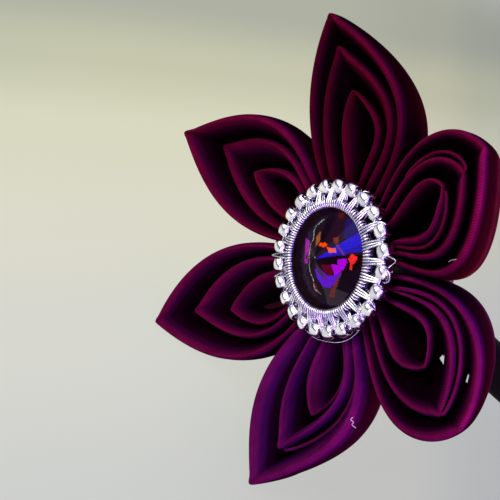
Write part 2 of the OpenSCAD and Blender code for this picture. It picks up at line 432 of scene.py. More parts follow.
def tube(name, path, radius, material, sides=8, closed=False):
    points = [Vector(point) for point in path]
    rows = len(points)
    rings = []
    normal = Vector((0.3, 0.2, 1))
    for i, point in enumerate(points):
        ahead = points[(i + 1) % rows] if closed or i + 1 < rows else point
        behind = points[i - 1] if closed or i else point
        along = (ahead - behind).normalized()
        normal = (normal - along * along.dot(normal)).normalized()
        other = along.cross(normal)
        for j in range(sides):
            a = 2 * math.pi * j / sides
            rings.append(point + (normal * math.cos(a) + other * math.sin(a)) * radius)
    faces = ringFaces(rows, sides, closed)
    if not closed:
        faces.append(tuple(range(sides - 1, -1, -1)))
        faces.append(tuple((rows - 1) * sides + j for j in range(sides)))
    return addMesh(name, rings, faces, material)


def smoothPath(points, steps):
    # Catmull-Rom curve through a few points
    points = [Vector(point) for point in points]
    path = []
    for i in range(len(points) - 1):
        a, b, c, d = points[max(i - 1, 0)], points[i], points[i + 1], points[min(i + 2, len(points) - 1)]
        for s in range(steps):
            t = s / steps
            bend = (2 * a - 5 * b + 4 * c - d) * t * t + (3 * b - a - 3 * c + d) * t**3
            path.append(0.5 * (2 * b + (c - a) * t + bend))
    return path + [points[-1]]


def polar(angle, radius, height):
    a = math.radians(angle)
    return Vector((radius * math.cos(a), radius * math.sin(a), height))


def dress(piece, node):
    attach(piece, "root")
    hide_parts(node)


# Petals: the folds of the source, finely drawn, each a strip of satin folded over its rim
petalSizes = {
    "rootR": 8.0,
    "rootHeight": -3.6,
    "wallDepth": 11.0,
    "drawIn": 0.5,  # how much narrower the fold is at its raw edge, and how much wider halfway down
    "swell": 0.06,
    "rootHalf": (3.4, 2.15, 0.95),
    "layers": ("outer", "middle", "inner"),
    "clothThickness": 0.16,
    "faceHalf": 0.4,  # from a wall's middle to its outer face
    "edgeHalf": 0.22,  # the same at the raw edge, where the cloth is pressed flat
    "pressFrom": 7.5,  # depth where the pressing starts, and how far it takes
    "pressOver": 3.5,
    "rollLeft": 0.9,  # how far the rim rolls over, as a share of the petal's plumpness
    "rollRight": 1.4,
    "rollTurn": 8,  # stations over which the one goes over into the other
    "rollLeast": 0.15,
    "rollShare": 0.3,  # of the room to the crease and of the fold's own width, where these are small
    "dropShare": 1.3,  # how deep the roll starts, as a share of the roll and at least
    "dropLeast": 0.25,
    "troughShare": 0.5,  # where the inner face meets the next fold's wall
    "troughGap": 0.3,
    "keelDepth": 9.0,
    "keelShort": 3,  # width in mm under which the crease of an inner fold rises to the rim
    "keelBack": 1.8,
    "keelRise": 0.75,
    "crown": 0.3,  # how much the inner face bulges on its way down
    "shares": [1, 0.93, 0.84, 0.74, 0.63, 0.52, 0.42, 0.33, 0.25, 0.2],
    "cornerRound": 0.56,  # mm along the fold that the window for rounding reaches
    "cornerWindow": (-1, -0.66, -0.33, 0, 0.33, 0.66, 1),
    "tipSoftening": 14,
    "tipStations": 12,
    "rawSteps": 70,
    "rawCrowding": 1.25,  # how much closer the stations stand near the point, at first and in the end
    "stations": 46,
    "stationCrowding": 1.35,
    "rimSteps": 9,
    "troughSteps": 9,
    "returnSteps": 5,
    "backSteps": 12,
    "backBulge": 0.25,
    "backDrop": 0.12,
    "seamRise": 0.35,
    "seamHalf": 0.5,
    "backFull": 6,  # width in mm from which the back bulges in full
    # The back's place on the satin's ramp of painted light and shade
    "backTone": -7.0,
    "gapFrom": 2.2,  # mm from a rim within which no gap opens
    "waves": 4,
    "waveTurns": (0.5, 1.4),
    "waveHeights": (0.03, 0.09),
    "waveSlant": 0.25,
    "rippleAcross": 0.5,
    "rippleUp": 0.35,
}
# For each petal, its turn in the flower and some shares: roll tips it to one side, keel draws its walls in
# with depth, taper makes them shallower toward the point, and plump is the size of its rims.
# Shades are the painted light on outer faces, rims and inner faces, narrow is how narrow the painted glow of
# the rims is, and blue is how many blue threads show, together with painted violet light.
# A fold is sway, reach, rise, left, right, left fullness, right fullness, point.
# A lip is the fold it stands off, its way along that fold, and its distance, half width and drop in mm.
# A gap runs from its high to its low place, as (angle, radius, height) before the petal's turn.
petalTable = [
    {"turn": 125.5, "roll": 0, "keel": 0.3, "taper": 0.2, "plump": 0.6,
     "shades": (0.3, 0.7, 0.5), "narrow": 1.35, "blue": 0.1,
     "outer": (0.3, 37, 7.1, 5.4, 10.9, 0.85, 1.2, 0.94),
     "middle": (0.4, 32.7, 4.2, 3.8, 8.9, 1.05, 1.6, 1.08),
     "inner": (-0.5, 26.6, 0.6, 1.9, 5.2, 2.5, 2.4, 1.1)},
    {"turn": 186.5, "roll": 0, "keel": 0.25, "taper": 0.2, "plump": 0.58,
     "shades": (0.45, 0.92, 0.9), "narrow": 1.0, "blue": 0.2,
     "outer": (0.3, 36.3, 8.9, 5.9, 9.3, 1.2, 1.3, 1.1),
     "middle": (-0.4, 32.4, 2.6, 4.5, 6.1, 1.2, 1.5, 1.06),
     "inner": (0.1, 24.9, -0.2, 2.2, 3.7, 1.4, 1.65, 1.02)},
    {"turn": 244, "roll": -0.09, "keel": 0.25, "taper": 0.3, "plump": 0.5,
     "shades": (0.7, 0.92, 0.7), "narrow": 1.0, "blue": 0.38,
     "outer": (-0.2, 36.7, 9.1, 8.5, 7.4, 1, 1.05, 0.98),
     "middle": (-0.6, 31.1, 4.2, 6.2, 4.9, 1.35, 1.25, 1.12),
     "inner": (0.6, 25.9, 0, 4.2, 3.2, 1.55, 1.4, 1.02)},
    {"turn": 308, "roll": 0, "keel": 0.08, "taper": 0.1, "plump": 0.56,
     "shades": (0.9, 0.95, 1.1), "narrow": 0.85, "blue": 0.85,
     "lips": [{"layer": 1, "along": (0.1, 0.49), "off": 1.2, "half": 0.3, "drop": 0.6}],
     "outer": (-1.7, 36.1, 9.2, 10.9, 6.9, 1.45, 1.1, 1.14),
     "middle": (0.1, 30.2, 5.8, 6.7, 3.1, 1.55, 1.65, 1.2),
     "inner": (0.6, 25.2, -0.2, 4.4, 2.7, 1.75, 2.2, 1.06)},
    {"turn": 6.5, "roll": -0.13, "keel": 0.9, "taper": 0.4, "plump": 0.5,
     "shades": (0.8, 1.2, 0.42), "narrow": 1.4, "blue": 0.52,
     "lips": [{"layer": 1, "along": (0.05, 0.49), "off": 1.0, "half": 0.32, "drop": -0.35}],
     "gaps": [{"high": (5.5, 26.2, -2), "low": (-1.9, 22.6, -8), "half": 0.8},
              {"high": (5.9, 30.8, -2), "low": (0.1, 27.4, -8), "half": 0.95}],
     "outer": (0.9, 37.1, 4.3, 8.8, 7.4, 1.1, 1.05, 0.62),
     "middle": (-0.8, 33.2, 3.1, 7, 4.1, 1.55, 1.3, 0.88),
     "inner": (0.2, 25.1, -0.5, 3.6, 3.1, 2.3, 2.15, 0.94)},
    {"turn": 65, "roll": -0.13, "keel": 0.75, "taper": 0.1, "plump": 0.48,
     "shades": (0.8, 1.3, 0.34), "narrow": 1.6, "blue": 0.27,
     "lips": [{"layer": 1, "along": (0.16, 0.485), "off": 0.8, "half": 0.32, "drop": 0.1},
              {"layer": 2, "along": (0.53, 0.97), "off": 0.6, "half": 0.3, "drop": 0.2}],
     "outer": (0.5, 36.7, 7.3, 6.5, 10, 1.1, 1.4, 0.8),
     "middle": (0.3, 30.7, 3.8, 4.9, 7.1, 1.25, 1.55, 0.76),
     "inner": (0.6, 26, 2.4, 2.7, 4.3, 2.3, 1.95, 0.88)},
]


def bow(u, fullness, point):
    full = fullness / (fullness + point)
    return u**fullness * (1 - u) ** point / (full**fullness * (1 - full) ** point)


def fullnessAt(depth):
    share = max(depth, 0) / petalSizes["wallDepth"]
    return 1 + petalSizes["swell"] * 4 * share * (1 - share) - petalSizes["drawIn"] * share**2.7


def climb(fold):
    return (fold[2] - petalSizes["rootHeight"]) / (fold[1] - petalSizes["rootR"])


def insetAt(petal, depth):
    return petal["keel"] * depth * depth / petalSizes["wallDepth"]


def foldPoint(petal, layer, u, side, share):
    sizes = petalSizes
    fold, outer = petal[sizes["layers"][layer]], petal["outer"]
    half, fullness = (fold[3], fold[5]) if side > 0 else (fold[4], fold[6])
    away = (fold[1] - sizes["rootR"]) * u
    below = away * (climb(outer) - climb(fold))
    whole = sizes["wallDepth"] * (1 - petal["taper"] * away / (outer[1] - sizes["rootR"]))
    depth = share * (whole - below)
    out = away - (insetAt(petal, below + depth) - insetAt(petal, below)) * u
    full = fullnessAt(below + depth) / fullnessAt(below)
    across = side * (sizes["rootHalf"][layer] * (1 - u) + half * bow(u, fullness, fold[7]) * full)
    height = sizes["rootHeight"] + climb(fold) * out + petal["roll"] * across * u - depth
    return Vector((sizes["rootR"] + out, across + fold[0] * u, height))


def runLengths(points):
    lengths = [0.0]
    for a, b in zip(points, points[1:]):
        lengths.append(lengths[-1] + (b - a).length)
    return lengths


def pathPoint(points, lengths, where):
    where = min(max(where, 0), lengths[-1])
    low = min(bisect.bisect_right(lengths, where), len(lengths) - 1) - 1
    span = lengths[low + 1] - lengths[low]
    return points[low].lerp(points[low + 1], (where - lengths[low]) / span if span else 0)


def foldLine(petal, layer, share):
    # The middle line at a depth, rounded at the point and spaced evenly, closer near the point
    sizes = petalSizes
    steps, count, soft = sizes["rawSteps"], sizes["stations"], sizes["cornerRound"]
    raw = []
    for i in range(-steps, steps + 1):
        u = max(1 - (abs(i) / steps) ** sizes["rawCrowding"], 0)
        raw.append(foldPoint(petal, layer, u, 1 if i < 0 else -1, share))
    lengths = runLengths(raw)
    tip, end = lengths[steps], lengths[-1]
    line = []
    for i in range(-count, count + 1):
        part = (abs(i) / count) ** sizes["stationCrowding"]
        where = tip - part * tip if i < 0 else tip + part * (end - tip)
        near = min(where, end - where, soft)
        window = [pathPoint(raw, lengths, where + shift * near) for shift in sizes["cornerWindow"]]
        line.append(sum(window, Vector()) / len(window))
    return line


def sideways(line, i):
    along = line[min(i + 1, len(line) - 1)] - line[max(i - 1, 0)]
    return Vector((-along.y, along.x, 0)).normalized()


def depthLine(lines, i, depth):
    # The wall's middle line at station i, at a depth in mm near the rim
    top, low = lines[0][i], lines[0.2][i]
    return top.lerp(low, depth / max(top.z - low.z, 0.1))


def keelLine(line):
    # For the innermost fold: the crease that its two sides fall into, which runs out from its point
    sizes = petalSizes
    crease = []
    for point, mirror in zip(line, reversed(line)):
        short = math.exp(-(point - mirror).length / sizes["keelShort"])
        fall = sizes["keelDepth"] * (1 - sizes["keelRise"] * short)
        crease.append((point + mirror) / 2 + Vector((-sizes["keelBack"] * short, 0, -fall)))
    return crease


def rimRoll(petal, rim, mirror, crease, i):
    # How far the rim rolls over at station i, less where the fold is narrow
    sizes = petalSizes
    rightness = min(max(0.5 + (i - sizes["stations"]) / sizes["rollTurn"], 0), 1)
    most = sizes["rollLeft"] + (sizes["rollRight"] - sizes["rollLeft"]) * rightness
    toCrease = sizes["rollShare"] * math.hypot(crease.x - rim.x, crease.y - rim.y)
    toMirror = sizes["rollShare"] * (rim - mirror).length
    return min(most * petal["plump"], toCrease, sizes["rollLeast"] + toMirror)


def satinSection(petal, lines, creases, i):
    # Points of the folded strip across its length, from the outer raw edge over the rim to the inner one
    sizes = petalSizes
    out, crease = sideways(lines[0], i), creases[i]
    roll = rimRoll(petal, lines[0][i], lines[0][-1 - i], crease, i)
    drop = sizes["dropShare"] * roll + sizes["dropLeast"]
    face, edge = sizes["faceHalf"], sizes["edgeHalf"]
    section = []
    for k, share in enumerate(sizes["shares"]):
        depth = share * sizes["wallDepth"]
        if depth > drop * sizes["dropShare"]:
            pressed = min(max((depth - sizes["pressFrom"]) / sizes["pressOver"], 0), 1) ** 2
            section.append(lines[share][i] + sideways(lines[share], i) * (face + (edge - face) * pressed))
        else:
            close = drop * (1 + 0.03 * (len(sizes["shares"]) - k))
            section.append(depthLine(lines, i, close) + out * face)
    for step in range(sizes["rimSteps"] + 1):
        a = math.pi / 2 * step / sizes["rimSteps"]
        base = depthLine(lines, i, drop * (1 - math.sin(a)))
        section.append(base + out * (face - roll + roll * math.cos(a)))
    top = section[-1]
    fall = crease - top
    for step in range(1, sizes["troughSteps"] + 1):
        q = step / sizes["troughSteps"]
        bulge = sizes["crown"] * (1 - q)
        section.append(top + Vector((fall.x * (1 + bulge), fall.y * (1 + bulge), fall.z * (1 - bulge))) * q)
    inner = lines[1][i] - sideways(lines[1], i) * edge
    for step in range(1, sizes["returnSteps"] + 1):
        section.append(crease.lerp(inner, step / sizes["returnSteps"]))
    return section


def softenTip(rows):
    # Behind the point the inner face is a smooth hollow, not a sharp valley
    sizes = petalSizes
    first = len(sizes["shares"]) + sizes["rimSteps"] + 2
    tip, reach = len(rows) // 2, sizes["tipStations"]
    for _ in range(sizes["tipSoftening"]):
        for j in range(first, first + sizes["troughSteps"] - 1):
            soft = {}
            for i in range(tip - reach, tip + reach + 1):
                soft[i] = (rows[i - 1][j] + rows[i][j] * 2 + rows[i + 1][j]) / 4
            for i, point in soft.items():
                rows[i][j] = point


def gridFaces(start, rows, wide, flipped=False):
    # Quads of an open grid of points whose first one is at start
    faces = []
    for i in range(rows - 1):
        for j in range(wide - 1):
            k = start + i * wide + j
            corners = (k, k + 1, k + wide + 1, k + wide)
            faces.append((corners[0], *reversed(corners[1:])) if flipped else corners)
    return faces


def rippleRows(rows, rims, seed):
    # Long soft waves in the cloth, none at the roots
    sizes = petalSizes
    rng = random.Random(seed)
    waves = [
        (rng.uniform(*sizes["waveTurns"]), rng.uniform(0, 6.28), rng.uniform(*sizes["waveHeights"]))
        for _ in range(sizes["waves"])
    ]
    for i, row in enumerate(rows):
        along = i / (len(rows) - 1)
        near = 1 - abs(2 * along - 1)  # 0 at the roots, 1 at the point
        out = sideways(rims, i)
        for point in row:
            depth = rims[i].z - point.z
            slant = depth * sizes["waveSlant"]
            ripple = 0.0
            for turns, start, height in waves:
                ripple += near * height * math.sin(6.28 * turns * along * 2 + start + slant)
            point += out * (ripple * sizes["rippleAcross"] * min(max(depth, 0) / 3, 1))
            point.z += ripple * sizes["rippleUp"]


def satinStrip(name, petal, layer, seed):
    sizes = petalSizes
    lines = {share: foldLine(petal, layer, share) for share in sizes["shares"] + [0]}
    count = len(lines[0])
    if layer < 2:
        beyond = foldLine(petal, layer + 1, sizes["troughShare"])
        clear = sizes["faceHalf"] + sizes["troughGap"]
        creases = [point + sideways(beyond, i) * clear for i, point in enumerate(beyond)]
    else:
        creases = keelLine(lines[0])
    rows = [satinSection(petal, lines, creases, i) for i in range(count)]
    rippleRows(rows, lines[0], seed)
    softenTip(rows)
    faces = gridFaces(0, count, len(rows[0]))
    rimPlace = len(sizes["shares"]) + sizes["rimSteps"]
    run = runLengths([row[rimPlace] for row in rows])
    uvs, fromRim, depth = [], [], 0.0
    for i, row in enumerate(rows):
        rise = runLengths(row)
        depth += rise[-1] / count
        fromRim += [where - rise[rimPlace] for where in rise]
        uvs += [(run[i], where - rise[rimPlace]) for where in rise]
    points = [point for row in rows for point in row]
    if layer == 0:
        depth += closeBack(rows, points, faces, uvs, fromRim, run)
    for lip in petal.get("lips", ()):
        if lip["layer"] == layer:
            addLip(lip, lines, points, faces, uvs, fromRim)
    faces = openGaps(petal, points, faces, fromRim)
    turn = Matrix.Rotation(math.radians(petal["turn"]), 4, "Z")
    strip = addMesh(name, [turn @ point for point in points], faces, wineSatin, uvs)
    addShade(strip, petal, fromRim)
    cloth = strip.modifiers.new("cloth", "SOLIDIFY")
    cloth.thickness = sizes["clothThickness"] * mm
    cloth.offset = -1
    return strip, (run[-1], depth)


def closeBack(rows, points, faces, uvs, fromRim, run):
    # The cloth's inner edges run on across the back of the petal and meet in a seam along its middle
    sizes = petalSizes
    wide, count, steps = len(rows[0]), len(rows), sizes["backSteps"]
    tip = count // 2
    grid = []
    widest = 0.0
    for i in range(tip):
        a, b = rows[i][-1], rows[count - 1 - i][-1]
        width = (b - a).length
        widest = max(widest, width)
        full = min(width / sizes["backFull"], 1)
        line = [i * wide + wide - 1]
        for s in range(1, steps):
            t = s / steps
            bulge = math.sin(math.pi * t) * sizes["backBulge"] * full
            seam = math.exp(-(((t - 0.5) * width / sizes["seamHalf"]) ** 2)) * sizes["seamRise"] * full
            points.append(a.lerp(b, t) + Vector((0, 0, seam - bulge - sizes["backDrop"])))
            uvs.append((run[i] + 0.3 * width * t, 20 + t * width))
            fromRim.append(sizes["backTone"])
            line.append(len(points) - 1)
        line.append((count - 1 - i) * wide + wide - 1)
        grid.append(line)
    for i in range(tip - 1):
        for s in range(steps):
            faces.append((grid[i][s], grid[i][s + 1], grid[i + 1][s + 1], grid[i + 1][s]))
    tipCorner = tip * wide + wide - 1
    for s in range(steps):
        faces.append((grid[-1][s], grid[-1][s + 1], tipCorner))
    return widest / 3


def openGaps(petal, points, faces, fromRim):
    # Small gaps between the folds where the ground shows through, each along a line from high to low
    kept = []
    for face in faces:
        middle = sum((points[j] for j in face), Vector()) / len(face)
        inGap = False
        for gap in petal.get("gaps", ()):
            high, low = polar(*gap["high"]), polar(*gap["low"])
            along = (low - high).normalized()
            off = (middle - high) - along * (middle - high).dot(along)
            clearOfRim = abs(fromRim[face[0]]) > petalSizes["gapFrom"]
            inGap = inGap or (off.length < gap["half"] and clearOfRim)
        if not inGap:
            kept.append(face)
    return kept


# How far from the rim a petal's narrow glow counts, and where its light goes over to the faces on both sides
shadeSizes = {"narrowTo": 6, "outFrom": 1.0, "outOver": 1.4, "inFrom": 0.5, "inOver": 1.5}


def addShade(strip, petal, fromRim):
    # Outer faces, rims and inner faces take shares of their own, because each petal stands in other light
    sizes = shadeSizes
    wall, rim, inner = petal["shades"]
    reaches, lights = [], []
    for reach in fromRim:
        reach *= petal["narrow"] if abs(reach) < sizes["narrowTo"] else 1
        outward = min(max(-reach - sizes["outFrom"], 0) / sizes["outOver"], 1)
        inward = min(max(reach - sizes["inFrom"], 0) / sizes["inOver"], 1)
        reaches.append(reach)
        lights.append(rim + (wall - rim) * outward + (inner - rim) * inward)
    # The share of blue threads carries painted violet light as well
    shades = {"fromRim": reaches, "lightShare": lights, "blueThreadsAndVioletLight": [petal["blue"]] * len(reaches)}
    for label, values in shades.items():
        layer = strip.data.attributes.new(label, "FLOAT", "POINT")
        layer.data.foreach_set("value", values)


def lipProfile(lip, off):
    # Across, depth and tone of the lip's strip, the tone being a way from the rim on the satin's ramp of
    # painted light and shade: out of the groove, over its small rim and down the outside
    half = lip["half"]
    profile = [(0.0, 0.9, 5.5), (0.25 * off, 2.2, 6.0), (0.6 * off, 2.0, 5.0)]
    for turn in (150, 120, 90, 60, 30, 0):
        a = math.radians(turn)
        profile.append((off + half * math.cos(a), 1.0 - half * math.sin(a), -0.8 * math.cos(a)))
    return profile + [(off + half * 0.9, 2.0, -2.0), (off * 0.9, 3.4, -3.0)]


def addLip(lip, lines, points, faces, uvs, fromRim):
    # The second edge of the doubled ribbon, which stands off the fold for a part of its length
    first, last = (round(share * (len(lines[0]) - 1)) for share in lip["along"])
    start, run, rows = len(points), 0.0, []
    for i in range(first, last + 1):
        part = (i - first) / (last - first)
        swell = math.sin(math.pi * part) ** 0.6
        out = sideways(lines[0], i)
        row = []
        for across, deep, tone in lipProfile(lip, lip["off"] * swell):
            deep = deep * (0.35 + 0.65 * swell) + lip["drop"]
            row.append(depthLine(lines, i, deep) + out * (petalSizes["faceHalf"] - 0.05 + across))
            fromRim.append(tone)
        if rows:
            run += (row[5] - rows[-1][5]).length
        rows.append(row)
        points += row
        uvs += [(run, 0.5 * j) for j in range(len(row))]
    faces += gridFaces(start, len(rows), len(rows[0]), flipped=True)


def addPetals():
    for k, petal in enumerate(petalTable):
        for layer, layerName in enumerate(petalSizes["layers"]):
            node = f"petal_{k + 1}_{layerName}"
            strip, flat = satinStrip(f"satin_{k + 1}_{layerName}", petal, layer, 10 * k + layer)
            dress(strip, node)
            print(node, "cloth", round(flat[0], 1), "x", round(flat[1], 1), "mm")


addPetals()
print("petals made")

# Wire work: a close coil round a core, three turns in five reaching out between the beads
wireSizes = {
    "ringR": 8.85,
    "coilR": 0.7,
    "wireR": 0.15,
    "sectors": 24,
    "turnsPerSector": 5,
    "spokeTurns": 3,
    "reach": 11.5,
    "wrapR": 0.33,
    "crowd": 0.62,  # how far the turns draw together where they reach the beads
    "uneven": 0.12,
    "overReach": 0.7,  # how far single turns stand out past the beads
    "pointsPerTurn": 24,
    "beadWireR": 0.18,
    "beadCircleR": 11.6,
    "beadTurn": 139.5,
    "coreR": 0.56,
    # the cup under the stone as (radius, height): its foot, its wall and the lip under the girdle
    "cup": [(9.1, -2.85), (9.6, -2.85), (9.65, -2.7), (9.65, -0.3), (9.1, -0.3), (9.1, -2.0),
            (8.1, -2.0), (8.1, -2.4), (9.1, -2.4)],
}


def newShapeTree(name, inputs):
    tree = bpy.data.node_groups.new(name, "GeometryNodeTree")
    for label, value in inputs:
        kind = "NodeSocketInt" if isinstance(value, int) else "NodeSocketFloat"
        socket = tree.interface.new_socket(name=label, in_out="INPUT", socket_type=kind)
        socket.default_value = value
    tree.interface.new_socket(name="Geometry", in_out="OUTPUT", socket_type="NodeSocketGeometry")
    return tree, tree.nodes.new("NodeGroupInput").outputs, tree.nodes.new("NodeGroupOutput")


def coilTree(material):
    sizes = wireSizes
    labels = ("ringR", "coilR", "wireR", "reach", "wrapR", "crowd", "uneven", "beadTurn")
    counts = ("sectors", "turnsPerSector", "spokeTurns", "pointsPerTurn")
    inputs = [(label, float(sizes[label])) for label in labels] + [(label, sizes[label]) for label in counts]
    tree, get, sink = newShapeTree("coiledWire", inputs + [("beadHeight", lean["beadHeight"])])

    def calc(operation, *values):
        return addMath(tree, operation, *values)

    index = tree.nodes.new("GeometryNodeInputIndex").outputs[0]
    part = calc("DIVIDE", index, get["pointsPerTurn"])
    turnNumber = calc("FLOOR", calc("ADD", part, 0.0001))
    swing = calc("MULTIPLY", part, 2 * math.pi)
    outward = calc("MULTIPLY", calc("COSINE", swing), -1)
    upward = calc("SINE", swing)
    sector = calc("FLOOR", calc("DIVIDE", calc("ADD", turnNumber, 0.001), get["turnsPerSector"]))
    inSector = calc("SUBTRACT", turnNumber, calc("MULTIPLY", sector, get["turnsPerSector"]))
    centre = calc("DIVIDE", calc("SUBTRACT", get["turnsPerSector"], 1), 2)
    offCentre = calc("ABSOLUTE", calc("SUBTRACT", inSector, centre))
    spoke = calc("LESS_THAN", offCentre, calc("DIVIDE", get["spokeTurns"], 2))
    stretch = calc("MULTIPLY", calc("MAXIMUM", outward, 0), spoke)

    def wander(shift):
        # Each shift reads its own stretch of one noise along the wire
        noise = addNode(tree, "ShaderNodeTexNoise", noise_dimensions="1D", Scale=0.9)
        tree.links.new(calc("ADD", part, shift), noise.inputs["W"])
        return calc("MULTIPLY", calc("SUBTRACT", noise.outputs["Fac"], 0.5), get["uneven"])

    chance = addNode(tree, "FunctionNodeRandomValue", data_type="FLOAT", Seed=5)
    tree.links.new(turnNumber, chance.inputs["ID"])
    over = calc("MULTIPLY", calc("POWER", chance.outputs[1], 6.0), sizes["overReach"])
    reach = calc("SUBTRACT", calc("ADD", get["reach"], over), calc("ADD", get["ringR"], get["coilR"]))
    radius = calc("MULTIPLY_ADD", outward, get["coilR"], get["ringR"])
    radius = calc("ADD", calc("MULTIPLY_ADD", stretch, reach, radius), wander(3.7))
    thin = calc("MULTIPLY_ADD", stretch, calc("SUBTRACT", get["wrapR"], get["coilR"]), get["coilR"])
    height = calc("MULTIPLY_ADD", upward, thin, calc("MULTIPLY", stretch, get["beadHeight"]))
    height = calc("ADD", height, wander(51.3))
    sectorAngle = calc("DIVIDE", 360.0, get["sectors"])
    angle = calc("MULTIPLY", calc("DIVIDE", part, get["turnsPerSector"]), sectorAngle)
    middle = calc("MULTIPLY", calc("ADD", sector, 0.5), sectorAngle)
    drawn = calc("MULTIPLY", calc("SUBTRACT", middle, angle), calc("MULTIPLY", stretch, get["crowd"]))
    angle = calc("RADIANS", calc("ADD", calc("ADD", angle, drawn), get["beadTurn"]))
    place = tree.nodes.new("ShaderNodeCombineXYZ")
    tree.links.new(calc("MULTIPLY", radius, calc("COSINE", angle)), place.inputs["X"])
    tree.links.new(calc("MULTIPLY", radius, calc("SINE", angle)), place.inputs["Y"])
    tree.links.new(height, place.inputs["Z"])

    turns = calc("MULTIPLY", get["sectors"], get["turnsPerSector"])
    line = tree.nodes.new("GeometryNodeMeshLine")
    tree.links.new(calc("MULTIPLY", turns, get["pointsPerTurn"]), line.inputs["Count"])
    profile = addNode(tree, "GeometryNodeCurvePrimitiveCircle", Resolution=7)
    tree.links.new(get["wireR"], profile.inputs["Radius"])
    shape = line.outputs[0]
    for kind in ("SetPosition", "MeshToCurve", "SetSplineCyclic", "CurveToMesh", "SetShadeSmooth",
                 "RealizeInstances", "SetMaterial"):
        step = tree.nodes.new("GeometryNode" + kind)
        tree.links.new(shape, step.inputs[0])
        shape = step.outputs[0]
        if kind == "SetPosition":
            tree.links.new(place.outputs[0], step.inputs["Position"])
        elif kind == "SetSplineCyclic":
            step.inputs["Cyclic"].default_value = True
        elif kind == "CurveToMesh":
            tree.links.new(profile.outputs[0], step.inputs["Profile Curve"])
        elif kind == "SetMaterial":
            step.inputs["Material"].default_value = material
    tree.links.new(shape, sink.inputs["Geometry"])
    return tree


def growShape(name, tree, values, material):
    holder = bpy.data.objects.new(name + "Holder", bpy.data.meshes.new(name + "Holder"))
    bpy.context.scene.collection.objects.link(holder)
    modifier = holder.modifiers.new("grow", "NODES")
    modifier.node_group = tree
    for item in tree.interface.items_tree:
        if item.item_type == "SOCKET" and item.in_out == "INPUT" and item.name in values:
            kind = int if item.socket_type == "NodeSocketInt" else float
            modifier[item.identifier] = kind(values[item.name])
    graph = bpy.context.evaluated_depsgraph_get()
    mesh = bpy.data.meshes.new_from_object(holder.evaluated_get(graph))
    mesh.name = name
    holder.modifiers.remove(modifier)
    bpy.data.objects.remove(holder)
    mesh.transform(flowerToWorld)
    return linkMesh(name, mesh, material)


def circle(centre, radius, steps):
    turns = [2 * math.pi * i / steps for i in range(steps)]
    return [(centre + radius * math.cos(a), radius * math.sin(a)) for a in turns]


def addSetting():
    sizes = wireSizes
    coil = growShape("silverCoil", coilTree(coilSilver), {**sizes, **lean}, coilSilver)
    ring = [polar(360 * i / 192, sizes["beadCircleR"], lean["beadHeight"]) for i in range(192)]
    pieces = [
        coil,
        lathe("coilCore", circle(sizes["ringR"], sizes["coreR"], 24), 128, darkWire),
        lathe("stoneCup", sizes["cup"], 96, darkWire, smooth=False),
        tube("beadWire", ring, sizes["beadWireR"], coilSilver, closed=True),
    ]
    for piece in pieces:
        dress(piece, "setting")
    print("coil of", sizes["sectors"] * sizes["turnsPerSector"], "turns,", len(coil.data.polygons), "faces")


addSetting()

# Loose wire: ends and loops that stand out of the coil, as (angle, radius, height) about the flower's middle
looseWires = [
    {"radius": 0.13,
     "path": [(224, 9.6, 0.5), (223, 11.2, 0.6), (222, 12.9, 0.4), (220, 11.4, 0.1), (219, 9.8, -0.2)]},
    {"radius": 0.13,
     "path": [(243, 9.4, 0.6), (241, 10.8, 0.7), (239, 12.3, 0.5), (237, 10.8, 0.0), (236, 9.7, -0.3)]},
    {"radius": 0.09,
     "path": [(50, 12.0, -0.3), (46, 13.1, 0.2), (43, 14.5, 0.1), (40, 13.4, -0.3), (37, 12.2, -0.5)]},
    {"radius": 0.15,
     "path": [(40, 11.3, 0.8), (38, 12.6, 0.9), (36, 13.5, 0.3), (31, 13.6, -0.2), (28, 12.7, -0.6),
              (27, 11.7, -0.9)]},
    {"radius": 0.13, "path": [(100, 11.3, 0.7), (97, 12.8, 0.3), (94, 13.0, -0.4), (91, 12.0, -1.0)]},
    {"radius": 0.13, "path": [(71, 11.4, 0.8), (69, 12.9, 0.4), (66, 13.1, -0.4), (64, 12.0, -1.0)]},
    {"radius": 0.13, "path": [(13, 11.5, 0.8), (11, 13.0, 0.3), (8, 13.1, -0.4), (6, 12.0, -1.0)]},
    {"radius": 0.05,
     "path": [(287, 11.9, -0.5), (294, 12.8, -0.8), (306, 13.1, -0.6), (325, 13.4, -0.4), (338, 13.5, -0.4),
              (350, 13.0, -0.5), (356, 12.0, -0.7)]},
]


def addLooseWires():
    for k, wire in enumerate(looseWires):
        path = smoothPath([polar(*point) for point in wire["path"]], 8)
        piece = tube(f"looseWire_{k + 1}", path, wire["radius"], coilSilver, sides=7)
        dress(piece, "setting")


addLooseWires()
print("loose wires made")

# A dried thread of glue on petal 4 and one in petal 6, as (angle, radius, height)
glueThreads = [
    {"radius": 0.055,
     "path": [(336.4, 25.5, 2.55), (335.9, 25.8, 2.85), (336.1, 26.2, 2.5), (335.4, 26.5, 2.6),
              (335.2, 27.0, 1.85)]},
    {"radius": 0.055,
     "path": [(43.0, 26.3, 2.9), (43.4, 26.9, 3.3), (43.5, 27.6, 3.75), (43.6, 28.9, 4.5)]},
]


def glueMaterial():
    material, tree, shader = newMaterial("dryGlue")
    setShader(shader, **{"Base Color": (0.5, 0.45, 0.56), "Roughness": 0.35})
    # The glue's faint glow is painted light
    setShader(shader, **{"Emission Color": (0.6, 0.5, 0.66), "Emission Strength": 0.1})
    return material


def addGlue():
    glue = glueMaterial()
    for k, thread in enumerate(glueThreads):
        path = smoothPath([polar(*point) for point in thread["path"]], 6)
        piece = tube(f"glueThread_{k + 1}", path, thread["radius"], glue, sides=6)
        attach(piece, "root")


addGlue()
print("glue made")

# Beads: drilled barrels, no two quite alike, that stand out a little further on one side of the flower
beadSizes = {
    "width": 2.72,
    "length": 2.2,
    "hole": 0.9,
    "holeHalf": 0.8,  # as a share of the half length, where the hole's wall begins
    "shoulderR": 0.62,
    "round": 0.62,
    "steps": 12,
    "proud": 0.4,
    "proudTurn": 41,
    "tilt": 5,
    "least": 0.95,
}


